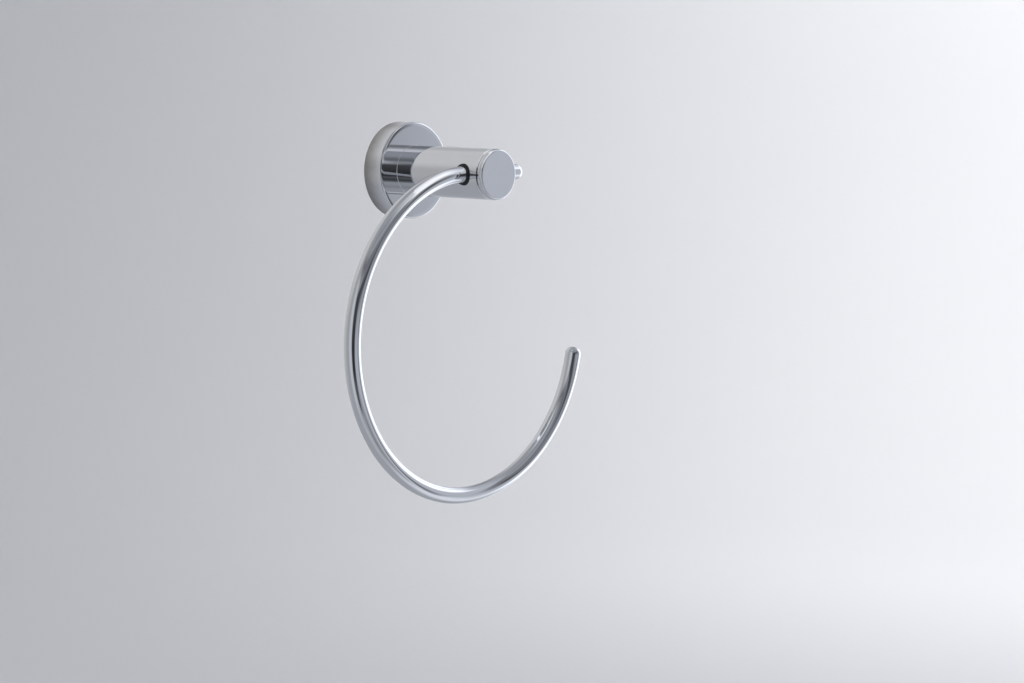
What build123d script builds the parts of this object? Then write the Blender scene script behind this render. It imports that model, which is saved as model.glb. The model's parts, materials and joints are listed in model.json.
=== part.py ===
"""Wall-mounted towel ring: a rosette on a hidden wall bracket, a post, and an open ring that swings in the post.

Millimetres. The wall is the plane y = 0, the front faces -Y, +X is right and +Z is up.
The origin is on the wall, on the post's axis.
"""

import os
from math import cos, hypot, radians, sin, sqrt

from build123d import *

# Rosette, the round cover flange
ROSETTE_DIAMETER = 48.0
ROSETTE_DEPTH = 11.5
ROSETTE_RIM_WALL = 3.0
ROSETTE_FACE_WALL = 3.0
ROSETTE_EDGE_ROUND = 0.7

# Post and its end cap
POST_DIAMETER = 25.0
PROJECTION = 69.0
CAP_THICKNESS = 3.3
CAP_EDGE_ROUND = 1.6
CAP_SPIGOT_LENGTH = 2.7
CAP_SPIGOT_WALL = 1.6
SEAM_CHAMFER = 0.25
POST_SPIGOT_DIAMETER = 12.0

# Ring, bent from one rod. A tighter lead-in bend joins its straight shank to the main arc.
ROD_DIAMETER = 8.0
ROD_END_FLAT = 0.6
RING_RADIUS = 79.0
RING_BEHIND_FRONT = 12.8
LEAD_IN_RADIUS = 55.0
LEAD_IN_TURN = 12.5
SHANK_PAST_POST = 0.5
STUB_LENGTH = 16.0
TIP_BELOW_CENTRE = 9.0

# Bushes in the cross-hole
BUSH_WALL = 1.2
BUSH_RECESS = 0.25

# Collar on the shank, inside the post
COLLAR_WALL = 2.5
COLLAR_WIDTH = 7.0
COLLAR_END_PLAY = 0.3
COLLAR_ROOM = 0.6
COLLAR_CHAMFER = 0.4

# Wall bracket
BRACKET_BEHIND_FACE = 2.5
BRACKET_CHAMFER = 0.5
WALL_HOLE_TO_EDGE = 6.85
WALL_HOLE_DIAMETER = 5.0
WALL_HOLE_SINK_DIAMETER = 9.0
SET_POCKET_DEPTH = 1.5

# Screws and washer
SET_SCREW_DIAMETER = 4.0
SET_SCREW_KEY = 2.0
SET_SCREW_KEY_DEPTH = 1.4
SET_SCREW_SUNK = 0.4
SCREW_CHAMFER = 0.4
POST_SCREW_DIAMETER = 6.0
POST_SCREW_GRIP = 13.0
POST_SCREW_HEAD_DIAMETER = 10.0
POST_SCREW_HEAD_HEIGHT = 3.6
POST_SCREW_HEAD_ROUND = 1.0
POST_SCREW_KEY = 4.0
POST_SCREW_KEY_DEPTH = 2.2
TAP_RUN_OUT = 2.0
WASHER_OVERLAP = 2.0
WASHER_THICKNESS = 1.6
WASHER_ROOM = 1.0

# Clearances on the radius
RUNNING_CLEARANCE = 0.1
SLIDE_CLEARANCE = 0.15
THREAD_CLEARANCE = 0.05
PRESS_CLEARANCE = 0.02

# Distances from the wall
ring_to_wall = PROJECTION - RING_BEHIND_FRONT
seam_to_wall = PROJECTION - CAP_THICKNESS
face_back_to_wall = ROSETTE_DEPTH - ROSETTE_FACE_WALL
bracket_thickness = face_back_to_wall - BRACKET_BEHIND_FACE
set_screw_to_wall = bracket_thickness / 2
head_seat_to_wall = face_back_to_wall - WASHER_THICKNESS
head_top_to_wall = head_seat_to_wall - POST_SCREW_HEAD_HEIGHT

# Radii
rod_radius = ROD_DIAMETER / 2
post_radius = POST_DIAMETER / 2
rosette_radius = ROSETTE_DIAMETER / 2
cavity_radius = rosette_radius - ROSETTE_RIM_WALL
bracket_radius = cavity_radius - SLIDE_CLEARANCE
spigot_radius = POST_SPIGOT_DIAMETER / 2
washer_radius = spigot_radius + WASHER_OVERLAP
bush_bore_radius = rod_radius + RUNNING_CLEARANCE
bush_radius = bush_bore_radius + BUSH_WALL
collar_radius = rod_radius + COLLAR_WALL
bore_radius = hypot(collar_radius, COLLAR_WIDTH / 2) + COLLAR_ROOM
set_screw_radius = SET_SCREW_DIAMETER / 2
post_screw_radius = POST_SCREW_DIAMETER / 2

# The ring's line, seen from the front with the shank along X at z = 0
shank_end = post_radius + SHANK_PAST_POST
stub_end = post_radius + STUB_LENGTH
arc_difference = RING_RADIUS - LEAD_IN_RADIUS
ring_centre_x = arc_difference * sin(radians(LEAD_IN_TURN)) - shank_end
ring_centre_z = -arc_difference * cos(radians(LEAD_IN_TURN)) - LEAD_IN_RADIUS
main_arc_start = 90 + LEAD_IN_TURN
main_arc_turn = 360 - TIP_BELOW_CENTRE - main_arc_start

os.makedirs("parts", exist_ok=True)


def save(piece, name):
    """Labels a finished piece and writes it to a file of its own."""
    piece.part.label = name
    export_step(piece.part, f"parts/{name}.step")


def cut_hexagon_socket(mouth, across_flats, depth):
    """Cuts a key socket into the piece being built, from its mouth along the plane's normal."""
    with BuildSketch(mouth) as socket:
        RegularPolygon(across_flats / sqrt(3), 6)
    extrude(socket.sketch, amount=depth, mode=Mode.SUBTRACT)


def make_set_screw(mouth, length, name):
    """Makes a set screw that starts at its socket's mouth and runs along the plane's normal."""
    with BuildPart() as set_screw:
        with BuildSketch(mouth):
            Circle(set_screw_radius)
        extrude(amount=length)
        chamfer(set_screw.edges().filter_by(GeomType.CIRCLE), SCREW_CHAMFER)
        cut_hexagon_socket(mouth, SET_SCREW_KEY, SET_SCREW_KEY_DEPTH)
    save(set_screw, name)


# Wall bracket: a disc with a clear centre for the post screw's head and two countersunk wall holes
with BuildPart() as wall_bracket:
    with BuildSketch(Plane.XZ):
        Circle(bracket_radius)
    extrude(amount=bracket_thickness)
    chamfer(wall_bracket.faces().sort_by(Axis.Y)[0].edges(), BRACKET_CHAMFER)
    with BuildSketch(Plane.XZ):
        Circle(washer_radius + WASHER_ROOM)
    extrude(amount=bracket_thickness, mode=Mode.SUBTRACT)
    with Locations(Plane.XZ.offset(bracket_thickness)):
        with GridLocations(2 * (bracket_radius - WALL_HOLE_TO_EDGE), 0, 2, 1):
            CounterSinkHole(WALL_HOLE_DIAMETER / 2, WALL_HOLE_SINK_DIAMETER / 2, counter_sink_angle=90)
    # Pocket in the lower edge that takes the set screw's point
    with BuildSketch(Plane.XY.offset(-cavity_radius)):
        with Locations((0, -set_screw_to_wall)):
            Circle(set_screw_radius + THREAD_CLEARANCE)
    extrude(amount=cavity_radius - bracket_radius + SET_POCKET_DEPTH, mode=Mode.SUBTRACT)
save(wall_bracket, "wall_bracket")

# Rosette: a turned cup over the bracket, with a hole for the post's spigot and a tapped hole underneath
with BuildPart() as rosette:
    with BuildSketch(Plane.XZ):
        Circle(rosette_radius)
    extrude(amount=ROSETTE_DEPTH)
    fillet(rosette.faces().sort_by(Axis.Y)[0].edges(), ROSETTE_EDGE_ROUND)
    with BuildSketch(Plane.XZ):
        Circle(cavity_radius)
    extrude(amount=face_back_to_wall, mode=Mode.SUBTRACT)
    with BuildSketch(Plane.XZ):
        Circle(spigot_radius + PRESS_CLEARANCE)
    extrude(amount=ROSETTE_DEPTH, mode=Mode.SUBTRACT)
    with BuildSketch(Plane.XY.offset(-rosette_radius)):
        with Locations((0, -set_screw_to_wall)):
            Circle(set_screw_radius + THREAD_CLEARANCE)
    extrude(amount=rosette_radius - bracket_radius, mode=Mode.SUBTRACT)
save(rosette, "rosette")

# Set screw under the rosette: its point sits in the bracket's pocket
rosette_screw_mouth = Plane((0, -set_screw_to_wall, SET_SCREW_SUNK - rosette_radius), z_dir=(0, 0, 1))
rosette_screw_length = rosette_radius - SET_SCREW_SUNK - bracket_radius + SET_POCKET_DEPTH
make_set_screw(rosette_screw_mouth, rosette_screw_length, "rosette_set_screw")

# Post: a turned bar with a spigot behind, a tapped hole, a hollow front and the cross-hole
with BuildPart() as post:
    with BuildSketch(Plane.XZ.offset(ROSETTE_DEPTH)):
        Circle(post_radius)
    extrude(amount=seam_to_wall - ROSETTE_DEPTH)
    chamfer(post.faces().sort_by(Axis.Y)[0].edges(), SEAM_CHAMFER)
    with BuildSketch(Plane.XZ.offset(face_back_to_wall)):
        Circle(spigot_radius)
    extrude(amount=ROSETTE_FACE_WALL)
    with BuildSketch(Plane.XZ.offset(face_back_to_wall)):
        Circle(post_screw_radius + THREAD_CLEARANCE)
    extrude(amount=ROSETTE_FACE_WALL + POST_SCREW_GRIP + TAP_RUN_OUT, mode=Mode.SUBTRACT)
    with BuildSketch(Plane.XZ.offset(seam_to_wall)):
        Circle(bore_radius)
    extrude(amount=ring_to_wall - collar_radius - COLLAR_ROOM - seam_to_wall, mode=Mode.SUBTRACT)
    with BuildSketch(Plane.YZ):
        with Locations((-ring_to_wall, 0)):
            Circle(bush_radius + PRESS_CLEARANCE)
    extrude(amount=post_radius, both=True, mode=Mode.SUBTRACT)
save(post, "post")

# Washer and screw that hold the post on the rosette's face
with BuildPart() as post_washer:
    with BuildSketch(Plane.XZ.offset(head_seat_to_wall)):
        Circle(washer_radius)
        Circle(post_screw_radius + SLIDE_CLEARANCE, mode=Mode.SUBTRACT)
    extrude(amount=WASHER_THICKNESS)
save(post_washer, "post_washer")

with BuildPart() as post_screw:
    with BuildSketch(Plane.XZ.offset(head_top_to_wall)):
        Circle(POST_SCREW_HEAD_DIAMETER / 2)
    extrude(amount=POST_SCREW_HEAD_HEIGHT)
    fillet(post_screw.faces().sort_by(Axis.Y)[-1].edges(), POST_SCREW_HEAD_ROUND)
    with BuildSketch(Plane.XZ.offset(head_seat_to_wall)):
        Circle(post_screw_radius)
    extrude(amount=WASHER_THICKNESS + ROSETTE_FACE_WALL + POST_SCREW_GRIP)
    chamfer(post_screw.faces().sort_by(Axis.Y)[0].edges(), SCREW_CHAMFER)
    cut_hexagon_socket(Plane.XZ.offset(head_top_to_wall), POST_SCREW_KEY, POST_SCREW_KEY_DEPTH)
save(post_screw, "post_screw")

# End cap: a disc with a rounded front edge and a hollow spigot in the post's bore
with BuildPart() as end_cap:
    with BuildSketch(Plane.XZ.offset(seam_to_wall)):
        Circle(post_radius)
    extrude(amount=CAP_THICKNESS)
    fillet(end_cap.faces().sort_by(Axis.Y)[0].edges(), CAP_EDGE_ROUND)
    chamfer(end_cap.faces().sort_by(Axis.Y)[-1].edges(), SEAM_CHAMFER)
    with BuildSketch(Plane.XZ.offset(seam_to_wall - CAP_SPIGOT_LENGTH)):
        Circle(bore_radius - PRESS_CLEARANCE)
        Circle(bore_radius - CAP_SPIGOT_WALL, mode=Mode.SUBTRACT)
    extrude(amount=CAP_SPIGOT_LENGTH)
save(end_cap, "end_cap")

# Bushes: one in each side of the cross-hole, cut to the post's round outside just below its surface
bush_inner_end = COLLAR_WIDTH / 2 + COLLAR_END_PLAY
for side, name in ((-1, "left_bush"), (1, "right_bush")):
    with BuildPart() as bush:
        with BuildSketch(Plane.YZ.offset(side * bush_inner_end)):
            with Locations((-ring_to_wall, 0)):
                Circle(bush_radius)
                Circle(bush_bore_radius, mode=Mode.SUBTRACT)
        extrude(amount=side * (post_radius - bush_inner_end))
        with BuildSketch(Plane.XZ):
            Circle(post_radius - BUSH_RECESS)
        extrude(amount=PROJECTION, mode=Mode.INTERSECT)
    save(bush, name)

# Ring: straight shank, lead-in bend and main arc, with both ends domed
with BuildPart() as ring:
    with BuildLine(Plane.XZ.offset(ring_to_wall)) as rod_path:
        Line((stub_end, 0), (-shank_end, 0))
        CenterArc((-shank_end, -LEAD_IN_RADIUS), LEAD_IN_RADIUS, 90, LEAD_IN_TURN)
        CenterArc((ring_centre_x, ring_centre_z), RING_RADIUS, main_arc_start, main_arc_turn)
    with BuildSketch(Plane(rod_path.line @ 0, z_dir=rod_path.line % 0)):
        Circle(rod_radius)
    sweep()
    fillet(ring.faces().filter_by(GeomType.PLANE).edges(), rod_radius - ROD_END_FLAT)
save(ring, "ring")

# Collar on the shank, with a tapped hole that faces the front
with BuildPart() as ring_collar:
    with BuildSketch(Plane.YZ.offset(-COLLAR_WIDTH / 2)):
        with Locations((-ring_to_wall, 0)):
            Circle(collar_radius)
    extrude(amount=COLLAR_WIDTH)
    chamfer(ring_collar.edges().filter_by(GeomType.CIRCLE), COLLAR_CHAMFER)
    with BuildSketch(Plane.YZ):
        with Locations((-ring_to_wall, 0)):
            Circle(rod_radius + THREAD_CLEARANCE)
    extrude(amount=COLLAR_WIDTH / 2, both=True, mode=Mode.SUBTRACT)
    with BuildSketch(Plane.XZ.offset(ring_to_wall)):
        Circle(set_screw_radius + THREAD_CLEARANCE)
    extrude(amount=collar_radius, mode=Mode.SUBTRACT)
save(ring_collar, "ring_collar")

# Set screw in the collar: its point holds the shank
collar_screw_mouth = Plane((0, SET_SCREW_SUNK - ring_to_wall - collar_radius, 0), z_dir=(0, 1, 0))
make_set_screw(collar_screw_mouth, COLLAR_WALL - SET_SCREW_SUNK, "collar_set_screw")
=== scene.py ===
"""Towel ring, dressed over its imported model.

A chrome rosette, post, end cap and open ring, with the fixings behind them. Pieces are modelled in
millimetres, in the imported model's own frame, and brought to metres when they are done. The mounting
plane is y = 0, the front faces -Y, +X is right and +Z is up.
"""

import json
from math import atan2, cos, degrees, hypot, pi, radians, sin, sqrt

import bmesh
import bpy
from mathutils import Matrix, Vector


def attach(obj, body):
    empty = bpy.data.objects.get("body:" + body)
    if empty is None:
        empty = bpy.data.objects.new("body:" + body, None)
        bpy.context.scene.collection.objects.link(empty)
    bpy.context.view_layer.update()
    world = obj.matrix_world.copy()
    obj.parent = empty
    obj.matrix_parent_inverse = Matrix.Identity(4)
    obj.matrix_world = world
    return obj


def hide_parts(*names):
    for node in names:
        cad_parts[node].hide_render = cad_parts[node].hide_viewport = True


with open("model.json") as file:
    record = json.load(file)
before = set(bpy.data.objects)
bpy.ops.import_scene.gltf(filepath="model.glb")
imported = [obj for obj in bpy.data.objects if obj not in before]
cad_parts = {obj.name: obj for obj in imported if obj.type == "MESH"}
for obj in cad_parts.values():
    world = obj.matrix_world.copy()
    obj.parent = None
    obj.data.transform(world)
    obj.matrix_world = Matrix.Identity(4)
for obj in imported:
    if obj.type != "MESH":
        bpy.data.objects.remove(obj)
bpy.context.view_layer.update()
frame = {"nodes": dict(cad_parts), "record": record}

METRES = 0.001
MERGE = 0.0005
CUTTER_SPARE = 1.0
SMOOTH_BELOW = radians(32)

# Ways in which a piece that was turned about Z is laid down
OUTWARD = (pi / 2, 0, 0)
ACROSS = (0, pi / 2, 0)
UPRIGHT = (0, 0, 0)

# Rosette. Its face falls away with the square of the distance past its flat part.
ROSETTE_RADIUS = 24.0
ROSETTE_DEPTH = 11.5
ROSETTE_EDGE = 0.8
ROSETTE_EDGE_HOLD = 0.05
ROSETTE_FLAT = 21.8
ROSETTE_FALL = 0.050
ROSETTE_FALL_STEPS = 5
ROSETTE_FACE_HOLD = 0.4
ROSETTE_BACK_EDGE = 0.2
CAVITY_RADIUS = 21.0
CAVITY_DEPTH = 8.5
CAVITY_MOUTH_EDGE = 0.25
CAVITY_CORNER = 0.5
SPIGOT_HOLE_RADIUS = 6.02

# Post and end cap, measured out from the mounting plane
POST_RADIUS = 12.5
POST_FOOT_FILLET = 0.15
POST_FOOT_STEPS = 4
POST_SIDE_HOLD = 0.3
SPIGOT_RADIUS = 6.0
SPIGOT_CHAMFER = 0.3
SEAM_AT = 65.7
SEAM_GAP = 0.4
SEAM_EDGE = 0.3
FRONT_AT = 69.0
BORE_RADIUS = 7.98
BORE_FLOOR_AT = 49.1
POST_TAP_RADIUS = 3.05
POST_TAP_END_AT = 26.5
CAP_EASE = ((12.5, 67.2), (12.4, 67.8), (12.2, 68.45))
CAP_FACE_RADIUS = 11.9
CAP_EDGE = 0.45
CAP_SPIGOT_RADIUS = 7.96
CAP_SPIGOT_INSIDE = 6.38
CAP_SPIGOT_BACK_AT = 63.0

# Ring. Turns are in degrees.
ROD_RADIUS = 4.0
ROD_END_FLAT = 0.6
ROD_SIDES = 72
DOME_STEPS = 10
RING_AT = 56.2
RING_RADIUS = 79.0
RING_STEPS = 288
LEAD_IN_RADIUS = 55.0
LEAD_IN_TURN = 12.5
LEAD_IN_STEPS = 14
TIP_BELOW_CENTRE = 9.0
SHANK_END = 13.0
STUB_END = 28.5

# Bushes
BUSH_RADIUS = 5.3
BUSH_BORE = 4.1
BUSH_INNER_END = 3.8
BUSH_RECESS = 0.25
CROSS_HOLE_RADIUS = 5.32

# Bracket and washer
BRACKET_RADIUS = 20.85
BRACKET_THICKNESS = 6.0
BRACKET_CHAMFER = 0.5
BRACKET_EDGE = 0.2
BRACKET_HOLE_RADIUS = 9.0
FIXING_HOLE_AT = 14.0
FIXING_HOLE_RADIUS = 2.5
FIXING_HOLE_SINK_RADIUS = 4.5
WASHER_RADIUS = 8.0
WASHER_HOLE_RADIUS = 3.15
WASHER_BACK_EDGE = 0.25
WASHER_FRONT_EDGE = 0.15

# Screw that holds the post
HEAD_SEAT_AT = 6.9
HEAD_TOP_AT = 3.3
HEAD_RADIUS = 5.0
HEAD_EDGE = 1.0
HEAD_KEY = 4.0
HEAD_KEY_DEPTH = 2.2
POST_SCREW_RADIUS = 3.0
POST_SCREW_ROOT = 2.5
POST_SCREW_PITCH = 1.0
POST_SCREW_END_AT = 24.5
POST_SCREW_POINT_RADIUS = 2.4
POST_SCREW_POINT_LENGTH = 0.6

# Headless screw under the rosette. Its mouth and point are heights.
SET_SCREW_AT = 3.0
SET_SCREW_HOLE_RADIUS = 2.05
SET_SCREW_RADIUS = 2.0
SET_SCREW_ROOT = 1.65
SET_SCREW_PITCH = 0.7
SET_SCREW_MOUTH = -23.6
SET_SCREW_MOUTH_RADIUS = 1.6
SET_SCREW_MOUTH_LENGTH = 0.1
SET_SCREW_POINT = -19.35
SET_SCREW_POINT_RADIUS = 1.3
SET_SCREW_POINT_LENGTH = 0.4
SET_SCREW_KEY = 2.0
SET_SCREW_KEY_DEPTH = 1.4

# Half widths of a thread's crest and of its foot, as shares of the pitch
CREST_HALF = 0.06
FOOT_HALF = 0.45


def pick(piece):
    """Selects one piece alone and makes it the active one."""
    bpy.ops.object.select_all(action="DESELECT")
    bpy.context.view_layer.objects.active = piece
    piece.select_set(True)


def choose_rim(piece, radius, height):
    """Selects, in edit mode, the edges that run round a turned piece at a radius and a height."""
    bpy.ops.mesh.select_all(action="DESELECT")
    bpy.ops.mesh.select_mode(type="EDGE")
    mesh = bmesh.from_edit_mesh(piece.data)
    for edge in mesh.edges:
        ends = [end.co for end in edge.verts]
        on_radius = all(abs(hypot(end.x, end.y) - radius) < MERGE for end in ends)
        edge.select_set(on_radius and all(abs(end.z - height) < MERGE for end in ends))
    bmesh.update_edit_mesh(piece.data)


def add_disc(name, radius, place, facing, sides, filled):
    """Adds the circle that a piece starts from and opens it with everything selected."""
    bpy.ops.object.select_all(action="DESELECT")
    bpy.ops.mesh.primitive_circle_add(
        vertices=sides,
        radius=radius,
        fill_type="NGON" if filled else "NOTHING",
        location=place,
        rotation=facing,
    )
    piece = bpy.context.object
    piece.name = name
    piece.data.name = name
    bpy.ops.object.transform_apply(location=True, rotation=True, scale=True)
    bpy.ops.object.mode_set(mode="EDIT")
    bpy.ops.mesh.select_all(action="SELECT")
    return piece


def extrude(move, grown, middle):
    """Extrudes what is selected, moves it and makes it that many times as large about a middle."""
    bpy.ops.mesh.extrude_region_move(TRANSFORM_OT_translate={"value": move})
    bpy.ops.transform.resize(value=(grown, grown, grown), center_override=middle)


def close_up():
    """Merges the doubles of the piece that is open and turns its faces outwards."""
    bpy.ops.mesh.select_all(action="SELECT")
    bpy.ops.mesh.remove_doubles(threshold=MERGE)
    bpy.ops.mesh.normals_make_consistent(inside=False)


def turn(name, outline, laid, place=(0, 0, 0), sides=128, hollow=False):
    """Turns an outline of (radius, height) points about Z and lays it along its own axis.

    A point may carry the size of its edge's round and how many steps that has. A hollow outline
    closes on itself and leaves the middle open; any other starts and ends in a flat disc.
    """
    radius, height = outline[0][:2]
    piece = add_disc(name, radius, (0, 0, height), UPRIGHT, sides, not hollow)
    for point in outline[1:] + (outline[:1] if hollow else []):
        extrude((0, 0, point[1] - height), point[0] / radius, (0, 0, point[1]))
        radius, height = point[:2]
    close_up()
    for point in outline:
        if len(point) == 4:
            rim, level, size, steps = point
            choose_rim(piece, rim, level)
            bpy.ops.mesh.bevel(offset=size, segments=steps, profile=0.5, affect="EDGES")
    bpy.ops.object.mode_set(mode="OBJECT")
    piece.rotation_euler = laid
    piece.location = place
    bpy.ops.object.transform_apply(location=True, rotation=True, scale=True)
    return piece


def make_cutter(radius, low, high, laid, place=(0, 0, 0), sides=64):
    """Makes a plain bar to cut with."""
    return turn("cutter", [(radius, low), (radius, high)], laid, place, sides)


def make_key_cutter(across_flats, depth, laid, mouth):
    """Makes the six-sided bar that cuts a key socket."""
    return make_cutter(across_flats / sqrt(3), -CUTTER_SPARE, depth, laid, mouth, sides=6)


def cut(piece, cutter, operation="DIFFERENCE"):
    """Takes a cutter out of a piece, or keeps only what they share, and removes the cutter."""
    pick(piece)
    bpy.ops.object.modifier_add(type="BOOLEAN")
    boolean = piece.modifiers[-1]
    boolean.operation = operation
    boolean.solver = "EXACT"
    boolean.object = cutter
    bpy.ops.object.modifier_apply(modifier=boolean.name)
    bpy.data.objects.remove(cutter, do_unlink=True)


def thread(radius, root, start, end, pitch):
    """Gives the outline of a screw's thread, tooth by tooth, from its start to its end."""
    count = int((end - start) / pitch)
    points = []
    for i in range(count):
        crest = start + (i + 0.5) * (end - start) / count
        points.append((root, crest - FOOT_HALF * pitch))
        points.append((radius, crest - CREST_HALF * pitch))
        points.append((radius, crest + CREST_HALF * pitch))
        points.append((root, crest + FOOT_HALF * pitch))
    return points


def make_rosette():
    """The round cover: a cup whose face rolls off to its edge.

    It has a hole for the post's spigot and a tapped hole below.
    """
    brim = ROSETTE_EDGE + ROSETTE_EDGE_HOLD
    roll = ROSETTE_RADIUS - brim - ROSETTE_FLAT
    rolled = [roll * i / ROSETTE_FALL_STEPS for i in range(ROSETTE_FALL_STEPS, -1, -1)]
    # Past the roll-off, the face goes on at its last slope until it meets the side
    corner_at = ROSETTE_DEPTH - ROSETTE_FALL * roll * (roll + 2 * brim)
    outline = [
        (CAVITY_RADIUS, 0, CAVITY_MOUTH_EDGE, 2),
        (ROSETTE_RADIUS, 0, ROSETTE_BACK_EDGE, 3),
        (ROSETTE_RADIUS, corner_at, ROSETTE_EDGE, 10),
        *[(ROSETTE_FLAT + out, ROSETTE_DEPTH - ROSETTE_FALL * out**2) for out in rolled],
        (ROSETTE_FLAT - ROSETTE_FACE_HOLD, ROSETTE_DEPTH),
        (SPIGOT_HOLE_RADIUS, ROSETTE_DEPTH),
        (SPIGOT_HOLE_RADIUS, CAVITY_DEPTH),
        (CAVITY_RADIUS, CAVITY_DEPTH, CAVITY_CORNER, 4),
    ]
    piece = turn("rosette_cover", outline, OUTWARD, sides=288, hollow=True)
    low, high = -ROSETTE_RADIUS - CUTTER_SPARE, CUTTER_SPARE - CAVITY_RADIUS
    cut(piece, make_cutter(SET_SCREW_HOLE_RADIUS, low, high, UPRIGHT, (0, -SET_SCREW_AT, 0)))
    return piece


def make_post():
    """The turned post: a tapped spigot behind, a hollow front and the cross-hole for the ring."""
    turns = [pi / 2 * i / POST_FOOT_STEPS for i in range(POST_FOOT_STEPS, -1, -1)]
    fillet = [(POST_FOOT_FILLET * (1 - cos(a)), POST_FOOT_FILLET * (1 - sin(a))) for a in turns]
    outline = [
        (POST_TAP_RADIUS, POST_TAP_END_AT),
        (POST_TAP_RADIUS, CAVITY_DEPTH, SPIGOT_CHAMFER, 1),
        (SPIGOT_RADIUS, CAVITY_DEPTH, SPIGOT_CHAMFER, 1),
        (SPIGOT_RADIUS, ROSETTE_DEPTH),
        *[(POST_RADIUS + out, ROSETTE_DEPTH + up) for out, up in fillet],
        (POST_RADIUS, ROSETTE_DEPTH + POST_FOOT_FILLET + POST_SIDE_HOLD),
        (POST_RADIUS, SEAM_AT, SEAM_EDGE, 1),
        (BORE_RADIUS, SEAM_AT),
        (BORE_RADIUS, BORE_FLOOR_AT),
    ]
    piece = turn("post_bar", outline, OUTWARD, sides=384)
    reach = POST_RADIUS + CUTTER_SPARE
    place = (0, -RING_AT, 0)
    cut(piece, make_cutter(CROSS_HOLE_RADIUS, -reach, reach, ACROSS, place, sides=160))
    return piece


def make_end_cap():
    """The disc that closes the post's front: an eased front edge, and a hollow spigot behind."""
    back_at = SEAM_AT + SEAM_GAP
    outline = [
        (CAP_SPIGOT_INSIDE, back_at),
        (CAP_SPIGOT_INSIDE, CAP_SPIGOT_BACK_AT),
        (CAP_SPIGOT_RADIUS, CAP_SPIGOT_BACK_AT, SPIGOT_CHAMFER, 1),
        (CAP_SPIGOT_RADIUS, back_at),
        (POST_RADIUS, back_at, SEAM_EDGE, 3),
        *CAP_EASE,
        (CAP_FACE_RADIUS, FRONT_AT, CAP_EDGE, 5),
    ]
    return turn("end_cap_disc", outline, OUTWARD, sides=288)


def make_ring():
    """The ring, bent from one rod: domed stub, shank, lead-in bend, main arc and domed tip."""
    dome = ROD_RADIUS - ROD_END_FLAT
    turns = [pi / 2 * i / DOME_STEPS for i in range(DOME_STEPS + 1)]
    rise = [(dome * (1 - cos(a)), ROD_END_FLAT + dome * sin(a)) for a in turns]
    fall = [(dome - back, radius) for back, radius in reversed(rise)]
    lead_in = radians(LEAD_IN_TURN)
    lead_in_centre = Vector((-SHANK_END, -RING_AT, -LEAD_IN_RADIUS))
    toward_centre = Vector((sin(lead_in), 0, -cos(lead_in)))
    ring_centre = lead_in_centre + (RING_RADIUS - LEAD_IN_RADIUS) * toward_centre
    arc_end = 2 * pi - radians(TIP_BELOW_CENTRE) - dome / RING_RADIUS
    arc = arc_end - pi / 2 - lead_in
    tip_base = ring_centre + RING_RADIUS * Vector((cos(arc_end), 0, sin(arc_end)))
    tip_way = Vector((-sin(arc_end), 0, cos(arc_end)))

    stub_end = Vector((STUB_END, -RING_AT, 0))
    stub_way = Vector((-1, 0, 0))
    piece = add_disc("ring_rod", ROD_END_FLAT, stub_end, ACROSS, ROD_SIDES, True)
    for (back, radius), (next_back, wider) in zip(rise, rise[1:]):
        extrude(stub_way * (next_back - back), wider / radius, stub_end + stub_way * next_back)
    shank = stub_way * (STUB_END - dome + SHANK_END)
    bpy.ops.mesh.extrude_region_move(TRANSFORM_OT_translate={"value": shank})
    for centre, angle, steps in (
        (lead_in_centre, lead_in, LEAD_IN_STEPS),
        (ring_centre, arc, RING_STEPS),
    ):
        bpy.ops.mesh.spin(steps=steps, angle=angle, center=centre, axis=(0, 1, 0))
    for (out, radius), (next_out, narrower) in zip(fall, fall[1:]):
        extrude(tip_way * (next_out - out), narrower / radius, tip_base + tip_way * next_out)
    close_up()
    bpy.ops.object.mode_set(mode="OBJECT")
    return piece


def make_bush():
    """The right bush: a sleeve in the cross-hole whose outer end follows the post's outside."""
    outer_end = POST_RADIUS + CUTTER_SPARE
    outline = [
        (BUSH_BORE, BUSH_INNER_END),
        (BUSH_RADIUS, BUSH_INNER_END),
        (BUSH_RADIUS, outer_end),
        (BUSH_BORE, outer_end),
    ]
    piece = turn("right_bush_sleeve", outline, ACROSS, (0, -RING_AT, 0), hollow=True)
    outside = make_cutter(POST_RADIUS - BUSH_RECESS, BORE_FLOOR_AT, SEAM_AT, OUTWARD, sides=384)
    cut(piece, outside, "INTERSECT")
    return piece


def copy_to_other_side(piece, name):
    """Copies a piece to the other side of the post, with a mesh of its own."""
    pick(piece)
    bpy.ops.object.duplicate()
    other = bpy.context.object
    other.name = name
    other.data.name = name
    bpy.ops.object.mode_set(mode="EDIT")
    bpy.ops.mesh.select_all(action="SELECT")
    bpy.ops.transform.resize(value=(-1, 1, 1), center_override=(0, 0, 0))
    bpy.ops.mesh.normals_make_consistent(inside=False)
    bpy.ops.object.mode_set(mode="OBJECT")
    return other


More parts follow.
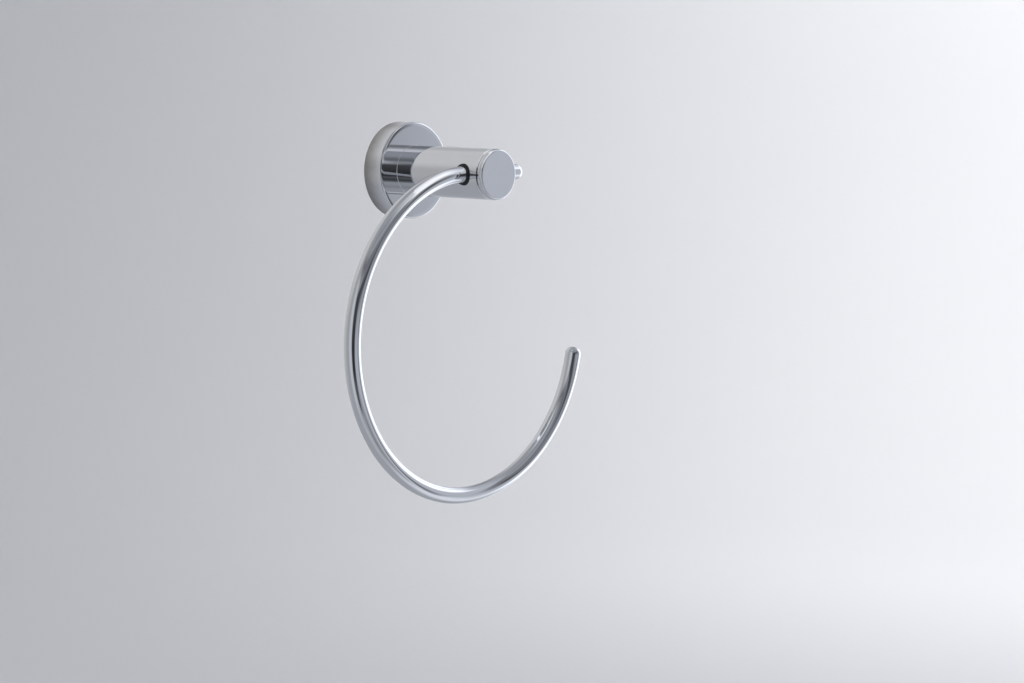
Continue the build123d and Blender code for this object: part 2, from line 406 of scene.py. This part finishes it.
def make_bracket():
    """The disc behind the rosette: an open middle, two countersunk holes and a screw's pocket."""
    outline = [
        (BRACKET_HOLE_RADIUS, 0, BRACKET_EDGE, 1),
        (BRACKET_RADIUS, 0, BRACKET_EDGE, 1),
        (BRACKET_RADIUS, BRACKET_THICKNESS, BRACKET_CHAMFER, 1),
        (BRACKET_HOLE_RADIUS, BRACKET_THICKNESS, BRACKET_EDGE, 1),
    ]
    piece = turn("bracket_disc", outline, OUTWARD, sides=256, hollow=True)
    sink_depth = FIXING_HOLE_SINK_RADIUS - FIXING_HOLE_RADIUS
    hole = [
        (FIXING_HOLE_RADIUS, -CUTTER_SPARE),
        (FIXING_HOLE_RADIUS, BRACKET_THICKNESS - sink_depth),
        (FIXING_HOLE_SINK_RADIUS + CUTTER_SPARE, BRACKET_THICKNESS + CUTTER_SPARE),
    ]
    for x in (-FIXING_HOLE_AT, FIXING_HOLE_AT):
        cut(piece, turn("cutter", hole, OUTWARD, (x, 0, 0), sides=96))
    low, high = -BRACKET_RADIUS - CUTTER_SPARE, SET_SCREW_POINT
    cut(piece, make_cutter(SET_SCREW_HOLE_RADIUS, low, high, UPRIGHT, (0, -SET_SCREW_AT, 0)))
    return piece


def make_washer():
    """The washer under the post screw's head."""
    outline = [
        (WASHER_HOLE_RADIUS, HEAD_SEAT_AT),
        (WASHER_RADIUS, HEAD_SEAT_AT, WASHER_BACK_EDGE, 3),
        (WASHER_RADIUS, CAVITY_DEPTH, WASHER_FRONT_EDGE, 2),
        (WASHER_HOLE_RADIUS, CAVITY_DEPTH),
    ]
    return turn("washer_disc", outline, OUTWARD, hollow=True)


def make_post_screw():
    """The screw that holds the post: a rounded head with a key socket, and a threaded shank."""
    thread_end = POST_SCREW_END_AT - POST_SCREW_POINT_LENGTH
    outline = [
        (HEAD_RADIUS, HEAD_TOP_AT, HEAD_EDGE, 6),
        (HEAD_RADIUS, HEAD_SEAT_AT),
        (POST_SCREW_RADIUS, HEAD_SEAT_AT),
        (POST_SCREW_RADIUS, CAVITY_DEPTH),
        *thread(POST_SCREW_RADIUS, POST_SCREW_ROOT, CAVITY_DEPTH, thread_end, POST_SCREW_PITCH),
        (POST_SCREW_POINT_RADIUS, POST_SCREW_END_AT),
    ]
    piece = turn("post_screw_turned", outline, OUTWARD, sides=96)
    cut(piece, make_key_cutter(HEAD_KEY, HEAD_KEY_DEPTH, OUTWARD, (0, -HEAD_TOP_AT, 0)))
    return piece


def make_set_screw():
    """The headless screw under the rosette: a thread with a key socket in its lower end."""
    thread_start = SET_SCREW_MOUTH + SET_SCREW_MOUTH_LENGTH
    thread_end = SET_SCREW_POINT - SET_SCREW_POINT_LENGTH
    outline = [
        (SET_SCREW_MOUTH_RADIUS, SET_SCREW_MOUTH),
        *thread(SET_SCREW_RADIUS, SET_SCREW_ROOT, thread_start, thread_end, SET_SCREW_PITCH),
        (SET_SCREW_POINT_RADIUS, SET_SCREW_POINT),
    ]
    piece = turn("rosette_grub_screw", outline, UPRIGHT, (0, -SET_SCREW_AT, 0), sides=72)
    mouth = (0, -SET_SCREW_AT, SET_SCREW_MOUTH)
    cut(piece, make_key_cutter(SET_SCREW_KEY, SET_SCREW_KEY_DEPTH, UPRIGHT, mouth))
    return piece


# A Mix node's sockets for colours: the share, the two colours and what comes out
MIX_SHARE, MIX_LOW, MIX_HIGH, MIX_OUT = 0, 6, 7, 2


class Reading:
    """A value that changes over a surface. Sums on readings add the Math nodes for them."""

    def __init__(self, finish, socket):
        self.finish = finish
        self.socket = socket

    def work_out(self, operation, first, second):
        return self.finish.node("ShaderNodeMath", {"operation": operation}, {0: first, 1: second})

    def __add__(self, other):
        return self.work_out("ADD", self, other)

    def __radd__(self, other):
        return self.work_out("ADD", other, self)

    def __sub__(self, other):
        return self.work_out("SUBTRACT", self, other)

    def __rsub__(self, other):
        return self.work_out("SUBTRACT", other, self)

    def __mul__(self, other):
        return self.work_out("MULTIPLY", self, other)

    def __rmul__(self, other):
        return self.work_out("MULTIPLY", other, self)


class Finish:
    """The node tree of a material, a light or the room."""

    def __init__(self, owner):
        owner.use_nodes = True
        self.owner = owner
        self.tree = owner.node_tree

    def node(self, kind, settings, sockets, output=0):
        """Adds a node: first its settings, then the values or links of its sockets."""
        made = self.tree.nodes.new(kind)
        for setting, value in settings.items():
            setattr(made, setting, value)
        self.fill(made, sockets)
        return Reading(self, made.outputs[output])

    def fill(self, node, sockets):
        """Links a socket to a reading, or gives it a plain value."""
        for socket, value in sockets.items():
            if isinstance(value, Reading):
                self.tree.links.new(value.socket, node.inputs[socket])
            else:
                node.inputs[socket].default_value = value

    def place(self):
        """Where a point of the surface is, in the piece's own frame."""
        return self.node("ShaderNodeTexCoord", {}, {}, "Object")

    def along(self, axis, place):
        """How far a place lies along an axis."""
        return self.node("ShaderNodeSeparateXYZ", {}, {0: place}, axis)

    def noise(self, place, scale, detail=2.0, rough=0.5):
        """A soft random pattern with features of about one over scale, in metres."""
        sockets = {"Vector": place, "Scale": scale, "Detail": detail, "Roughness": rough}
        return self.node("ShaderNodeTexNoise", {}, sockets, "Fac")

    def blend(self, share, low, high):
        """Goes from one colour to another as the share goes from 0 to 1."""
        sockets = {MIX_SHARE: share, MIX_LOW: low, MIX_HIGH: high}
        return self.node("ShaderNodeMix", {"data_type": "RGBA"}, sockets, MIX_OUT)

    def grade(self, reading, low, high):
        """Spreads a reading between two of its levels over 0 to 1."""
        sockets = {"Value": reading, "From Min": low, "From Max": high}
        return self.node("ShaderNodeMapRange", {"interpolation_type": "SMOOTHSTEP"}, sockets)

    def span(self, reading, half, soft):
        """Is 1 where a reading lies within half of 0 on either side, and falls softly past that."""
        away = self.node("ShaderNodeMath", {"operation": "ABSOLUTE"}, {0: reading})
        return self.grade(away, half + soft, half - soft)

    def relief(self, height, depth):
        """A bump of that depth in metres."""
        sockets = {"Strength": 1.0, "Distance": depth, "Height": height}
        return self.node("ShaderNodeBump", {}, sockets)

    def coat(self, sockets):
        """Fills the sockets of the material's own shader."""
        self.fill(self.tree.nodes["Principled BSDF"], sockets)
        return self.owner


def new_finish(name):
    """Starts a material."""
    return Finish(bpy.data.materials.new(name))


def make_polished_chrome():
    """Bright plating: soft clouding, handling marks and slight waviness.

    A darker band at the back is painted shade: the shade that the wall would give near it.
    """
    finish = new_finish("polished_chrome")
    place = finish.place()
    clouding = finish.noise(place, scale=45.0, detail=3.0)
    film = finish.grade(finish.noise(place, scale=170.0, detail=5.0, rough=0.62), 0.42, 0.72)
    hairlines = finish.noise(place, scale=2400.0)
    waviness = finish.noise(place, scale=75.0, detail=1.0)
    tone = 0.75 * clouding + 0.25 * film
    plating = finish.blend(tone, (0.735, 0.745, 0.77, 1), (0.785, 0.795, 0.815, 1))
    # Painted shade: the plating darkens towards the back, near the mounting plane, as if shaded by
    # the wall
    painted_wall_shade = finish.grade(finish.along("Y", place) + 0.0012 * film, -0.0120, 0.0008)
    return finish.coat(
        {
            "Base Color": finish.blend(0.9 * painted_wall_shade, plating, (0.27, 0.263, 0.256, 1)),
            "Metallic": 1.0,
            "Roughness": 0.022 + 0.028 * film + 0.012 * hairlines,
            "Normal": finish.relief(waviness + 0.004 * hairlines, 0.000006),
        }
    )


def make_black_plastic():
    """Moulded black plastic with a fine spark-eroded grain and rubbed lighter patches."""
    finish = new_finish("black_plastic")
    place = finish.place()
    grain = finish.noise(place, scale=3200.0, detail=3.0, rough=0.6)
    rubbed = finish.grade(finish.noise(place, scale=260.0, detail=3.0), 0.45, 0.75)
    return finish.coat(
        {
            "Base Color": finish.blend(rubbed, (0.009, 0.009, 0.010, 1), (0.020, 0.020, 0.021, 1)),
            "Roughness": 0.52 - 0.14 * rubbed + 0.1 * grain,
            "Normal": finish.relief(grain, 0.00004),
        }
    )


def make_turned_metal():
    """Bare die-cast metal, faced on a lathe: fine rings over a dull, mottled grey."""
    finish = new_finish("bracket_metal")
    place = finish.place()
    across, upward = finish.along("X", place), finish.along("Z", place)
    squares = across * across + upward * upward
    from_axis = finish.node("ShaderNodeMath", {"operation": "SQRT"}, {0: squares})
    wander = finish.noise(place, scale=120.0)
    ripple = 15000.0 * from_axis + 3.0 * wander
    rings = finish.node("ShaderNodeMath", {"operation": "SINE"}, {0: ripple})
    mottle = finish.noise(place, scale=420.0, detail=4.0, rough=0.6)
    return finish.coat(
        {
            "Base Color": finish.blend(mottle, (0.36, 0.36, 0.355, 1), (0.54, 0.54, 0.53, 1)),
            "Metallic": 1.0,
            "Roughness": 0.34 + 0.16 * mottle + 0.05 * rings,
            "Normal": finish.relief(0.5 * rings + mottle, 0.00001),
        }
    )


def make_zinc_steel():
    """Zinc-plated steel: a bluish grey with pale bloom and a fine grain."""
    finish = new_finish("screw_steel")
    place = finish.place()
    bloom = finish.grade(finish.noise(place, scale=380.0, detail=4.0, rough=0.6), 0.4, 0.7)
    grain = finish.noise(place, scale=2800.0)
    return finish.coat(
        {
            "Base Color": finish.blend(bloom, (0.50, 0.52, 0.55, 1), (0.66, 0.66, 0.64, 1)),
            "Metallic": 1.0,
            "Roughness": 0.24 + 0.18 * bloom + 0.06 * grain,
            "Normal": finish.relief(grain, 0.000012),
        }
    )


finishes = {
    "polished_chrome": make_polished_chrome(),
    "black_plastic": make_black_plastic(),
    "bracket_metal": make_turned_metal(),
    "screw_steel": make_zinc_steel(),
}
slot_of_node = {part["node"]: part["material_slot"] for part in frame["record"]["subparts"]}


def dress(piece, node, body):
    """Brings a finished piece to metres, shades it and lets it stand for its node."""
    pick(piece)
    piece.scale = (METRES, METRES, METRES)
    bpy.ops.object.transform_apply(location=True, rotation=True, scale=True)
    bpy.ops.object.shade_smooth_by_angle(angle=SMOOTH_BELOW)
    # Flat faces mirror flat beside their small rounds
    if node in ("rosette", "end_cap"):
        bpy.ops.object.modifier_add(type="WEIGHTED_NORMAL")
        piece.modifiers[-1].keep_sharp = True
        bpy.ops.object.modifier_apply(modifier=piece.modifiers[-1].name)
    piece.data.materials.clear()
    piece.data.materials.append(finishes[slot_of_node[node]])
    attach(piece, body)
    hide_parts(node)


right_bush = make_bush()
left_bush = copy_to_other_side(right_bush, "left_bush_sleeve")
dress(make_rosette(), "rosette", "holder")
dress(make_post(), "post", "holder")
dress(make_end_cap(), "end_cap", "holder")
dress(right_bush, "right_bush", "holder")
dress(left_bush, "left_bush", "holder")
dress(make_bracket(), "wall_bracket", "holder")
dress(make_washer(), "post_washer", "holder")
dress(make_post_screw(), "post_screw", "holder")
dress(make_set_screw(), "rosette_set_screw", "holder")
dress(make_ring(), "ring", "swing_ring")

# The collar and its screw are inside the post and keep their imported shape
for node in ("ring_collar", "collar_set_screw"):
    hidden = frame["nodes"][node]
    hidden.data.materials.clear()
    hidden.data.materials.append(finishes[slot_of_node[node]])


# Studio, in metres. The backdrop goes round between two angles, in degrees.
FLOOR_Z = -0.5
FLOOR_RADIUS = 8.0
BACKDROP_RADIUS = 2.3
BACKDROP_SWEEP = 0.6
BACKDROP_BENDS = 9
BACKDROP_LIFT = 0.002
BACKDROP_TOP = 2.2
BACKDROP_FROM = 12.0
BACKDROP_TO = 206.0

# The room that the chrome mirrors. A tint goes over each level of light. Most of these numbers
# started from fits to the reflections in the picture: the tints from median colours, the rest from
# least squares. They were rounded, many were then changed, and others added.
NEUTRAL = (1.0, 1.0, 1.015)
COOL = (0.95, 0.985, 1.07)
DAYLIGHT = (0.955, 1.005, 1.12)
FRONT_LIGHT = 0.555
LEFT_LIGHT = 0.41
BACK_LIGHT = 0.58
HIGH_BACK_LIGHT = 0.645
CEILING_LIGHT = 0.37
FLOOR_LIGHT = 0.41

# Where its sides run into each other, in degrees: to the left of the front, up, and down
LEFT_RUN = (45, 66)
CEILING_RUN = (44, 72)
FLOOR_RUN = (5, 36)

# The back lies past these degrees from the front on either side, with a soft edge
BACK_PAST, BACK_SOFT = 141, 28
HIGH_BACK_PAST, HIGH_BACK_SOFT = 128, 16
HIGH_BACK_UP, HIGH_BACK_HALF, HIGH_BACK_UP_SOFT = 36, 18, 14

# Its soft patches: degrees to the right of the front and degrees up for the middle, the half size
# and the softness of the edges, then how much a patch slopes, and its light. The words beside them
# are made up, to tell them apart.
ROOM_PATCHES = (
    ((-15, 56.5), (60, 9), (14, 7), 0.0, 0.32),  # edge of the ceiling
    ((-13, 21), (55, 21), (5, 19), 0.0, 0.21),  # grey board above the camera
    ((-25, -58), (45, 11), (15, 5), 0.0, 0.51),  # pale floor in front
    ((49, -44), (38, 21), (20, 17), 0.0, 0.87),  # bright floor by the large light
    ((-71, -6), (17, 41), (12, 20), 0.0, 0.63),  # pale board on the left
    ((-49, 36), (44, 5.5), (20, 6.5), -0.22, 0.19),  # rail under the ceiling
    ((9, -36), (23, 9), (9, 19), 0.0, 0.23),  # grey floor in front
    ((40.5, 6), (3.8, 40), (2.8, 12), 0.0, 0.24),  # frame of the large light
    ((38.2, -2), (1.8, 20), (1.5, 8), 0.0, 0.05),  # dark edge beside the frame
    ((91, 3), (28, 34), (8, 8), 0.0, 1.6),  # large light on the right
    ((114, -26), (11, 9), (8, 6), 0.0, 0.92),  # reflector below its far end
    ((126, 39), (18, 14), (19, 17), 0.0, 0.26),  # grey board over its far end
    ((1, 13), (14, 5), (10, 5), 0.0, 0.05),  # dark board in front
    ((-39, 25.5), (7, 3.5), (5, 2.5), 0.0, 0.33),  # pale strip over the dark cloth
    ((-31.5, 6), (19, 14.5), (6.5, 3), 0.0, 0.07),  # dark cloth behind the camera
    ((-31.5, -12), (19, 16), (6.5, 13), 0.0, 0.035),  # its lower half
    ((-32, -29), (8, 6), (4, 4), 0.0, 0.07),  # its foot
)

# Camera: its place in metres, its angles in radians, and its focal length in the picture's pixels
CAMERA_PLACE = Vector((-0.97454, -0.97333, 0.06748))
CAMERA_YAW = 0.8277
CAMERA_PITCH = 0.1115
CAMERA_ROLL = 0.0032
CAMERA_CLIP = 0.01
FOCAL_PIXELS = 2740.6
IMAGE_WIDTH = 1024
SENSOR_WIDTH = 36.0


def make_pale_paper():
    """The studio's seamless paper, with a barely uneven tone."""
    finish = new_finish("studio_paper")
    tone = finish.noise(finish.place(), scale=1.3)
    colour = finish.blend(tone, (0.77, 0.77, 0.785, 1), (0.81, 0.81, 0.82, 1))
    return finish.coat({"Base Color": colour, "Roughness": 0.9})


def lay_out(piece, paper):
    """Gives a piece of the studio its paper and keeps it out of the chrome."""
    piece.data.materials.append(paper)
    piece.visible_glossy = False


def make_floor(paper):
    """A wide pale floor."""
    piece = add_disc("studio_floor", FLOOR_RADIUS, (0, 0, FLOOR_Z), UPRIGHT, 96, True)
    bpy.ops.object.mode_set(mode="OBJECT")
    lay_out(piece, paper)


def make_backdrop(paper):
    """Paper that sweeps up from the floor and round the back and both sides of the object."""
    foot = BACKDROP_RADIUS - BACKDROP_SWEEP
    low = FLOOR_Z + BACKDROP_LIFT
    bends = [pi / 2 * i / BACKDROP_BENDS for i in range(BACKDROP_BENDS + 1)]
    outline = [
        *[(foot + BACKDROP_SWEEP * sin(a), low + BACKDROP_SWEEP * (1 - cos(a))) for a in bends],
        (BACKDROP_RADIUS, BACKDROP_TOP),
    ]
    piece = turn("studio_backdrop", outline, UPRIGHT, sides=180)
    bpy.ops.object.mode_set(mode="EDIT")
    bpy.ops.mesh.select_all(action="DESELECT")
    bpy.ops.mesh.select_mode(type="FACE")
    mesh = bmesh.from_edit_mesh(piece.data)
    for face in mesh.faces:
        middle = face.calc_center_median()
        angle = degrees(atan2(middle.y, middle.x)) % 360
        is_side = hypot(middle.x, middle.y) > foot
        is_front = is_side and not BACKDROP_FROM < angle < BACKDROP_TO
        is_lid = abs(middle.z - BACKDROP_TOP) < MERGE
        face.select_set(is_front or is_lid)
    bmesh.update_edit_mesh(piece.data)
    bpy.ops.mesh.delete(type="FACE")
    bpy.ops.object.mode_set(mode="OBJECT")
    bpy.ops.object.shade_smooth()
    lay_out(piece, paper)


def add_softbox(name, place, aim, size, level, soft, mirrored=True):
    """A flat light that the camera doesn't see, aimed at a place, in metres.

    A share of its width and of its height fades out. The chrome mirrors it or not.
    """
    place = Vector(place)
    width, height = size
    bpy.ops.object.light_add(type="AREA", location=place)
    light = bpy.context.object
    light.name = name
    light.rotation_euler = (place - Vector(aim)).to_track_quat("Z", "Y").to_euler()
    light.data.shape = "RECTANGLE"
    light.data.size = width
    light.data.size_y = height
    light.data.energy = level * pi * width * height
    light.visible_camera = False
    light.visible_glossy = mirrored
    cover = Finish(light.data)
    spot = cover.node("ShaderNodeNewGeometry", {}, {}, "Parametric")
    across, upward = (
        cover.span(cover.along(axis, spot) - 0.5, (1 - share) / 2, share / 2)
        for axis, share in zip("XY", soft)
    )
    cover.fill(cover.tree.nodes["Emission"], {"Strength": across * upward})


def tinted(level, tint):
    """The colour of a level of light."""
    return (level * tint[0], level * tint[1], level * tint[2], 1)


def make_room():
    """The room round the studio: sides that run into each other, with soft patches on them."""
    world = bpy.data.worlds.new("studio_room")
    bpy.context.scene.world = world
    room = Finish(world)
    toward = room.node("ShaderNodeTexCoord", {}, {}, "Generated")
    across, inward, upward = (room.along(axis, toward) for axis in "XYZ")
    turned = room.node("ShaderNodeMath", {"operation": "ARCTAN2"}, {0: across, 1: 0 - inward})
    raised = room.node("ShaderNodeMath", {"operation": "ARCSINE"}, {0: upward})
    turned, raised = degrees(1) * turned, degrees(1) * raised

    left = room.grade(0 - turned, *LEFT_RUN)
    shade = room.blend(left, tinted(FRONT_LIGHT, DAYLIGHT), tinted(LEFT_LIGHT, NEUTRAL))
    shade = room.blend(room.span(turned, BACK_PAST, BACK_SOFT), tinted(BACK_LIGHT, NEUTRAL), shade)
    shade = room.blend(room.grade(raised, *CEILING_RUN), shade, tinted(CEILING_LIGHT, COOL))
    shade = room.blend(room.grade(0 - raised, *FLOOR_RUN), shade, tinted(FLOOR_LIGHT, COOL))
    behind = 1 - room.span(turned, HIGH_BACK_PAST, HIGH_BACK_SOFT)
    high = room.span(raised - HIGH_BACK_UP, HIGH_BACK_HALF, HIGH_BACK_UP_SOFT)
    shade = room.blend(behind * high, shade, tinted(HIGH_BACK_LIGHT, NEUTRAL))
    for (right, up), (half_wide, half_tall), (soft_wide, soft_tall), slope, level in ROOM_PATCHES:
        aside = turned - right
        above = raised - slope * aside - up if slope else raised - up
        patch = room.span(aside, half_wide, soft_wide) * room.span(above, half_tall, soft_tall)
        shade = room.blend(patch, shade, tinted(level, COOL))
    room.fill(room.tree.nodes["Background"], {"Color": shade, "Strength": 1.0})


def make_camera():
    """The camera, at the place and angle that fit the picture."""
    ahead = Vector((sin(CAMERA_YAW), cos(CAMERA_YAW), 0))
    right = Vector((cos(CAMERA_YAW), -sin(CAMERA_YAW), 0))
    up = Vector((0, 0, 1))
    look = ahead * cos(CAMERA_PITCH) - up * sin(CAMERA_PITCH)
    top = up * cos(CAMERA_PITCH) + ahead * sin(CAMERA_PITCH)
    side = right * cos(CAMERA_ROLL) + top * sin(CAMERA_ROLL)
    top = top * cos(CAMERA_ROLL) - right * sin(CAMERA_ROLL)
    bpy.ops.object.camera_add()
    camera = bpy.context.object
    camera.name = "studio_camera"
    camera.data.sensor_width = SENSOR_WIDTH
    camera.data.lens = FOCAL_PIXELS / IMAGE_WIDTH * SENSOR_WIDTH
    camera.data.clip_start = CAMERA_CLIP
    facing = Matrix((side, top, -look)).transposed().to_4x4()
    camera.matrix_world = Matrix.Translation(CAMERA_PLACE) @ facing
    bpy.context.scene.camera = camera


make_camera()
studio_paper = make_pale_paper()
make_floor(studio_paper)
make_backdrop(studio_paper)
make_room()
# The two cards and the paper's light started from fits to the picture's brightness too
add_softbox(
    "side_card",
    place=(0.014, -0.1206, 0.2513),
    aim=(-0.2, -0.1206, 0.2513),
    size=(0.225, 0.451),
    level=0.40,
    soft=(0.2, 0.11),
)
add_softbox(
    "top_card",
    place=(-0.0210, -0.0875, 0.0295),
    aim=(-0.0210, -0.0875, -1.0),
    size=(0.120, 0.0750),
    level=0.49,
    soft=(0.45, 0.35),
)
add_softbox(
    "paper_light",
    place=(1.294, 0.408, 0.591),
    aim=(2.269, 0.5, -0.079),
    size=(0.6, 0.6),
    level=13.1,
    soft=(0.2, 0.2),
    mirrored=False,
)
add_softbox(
    "paper_fill",
    place=(0.0, -0.3, 2.2),
    aim=(0.0, -0.3, -0.5),
    size=(2.8, 2.8),
    level=1.8,
    soft=(0.3, 0.3),
    mirrored=False,
)
bpy.context.scene.view_settings.view_transform = "Standard"
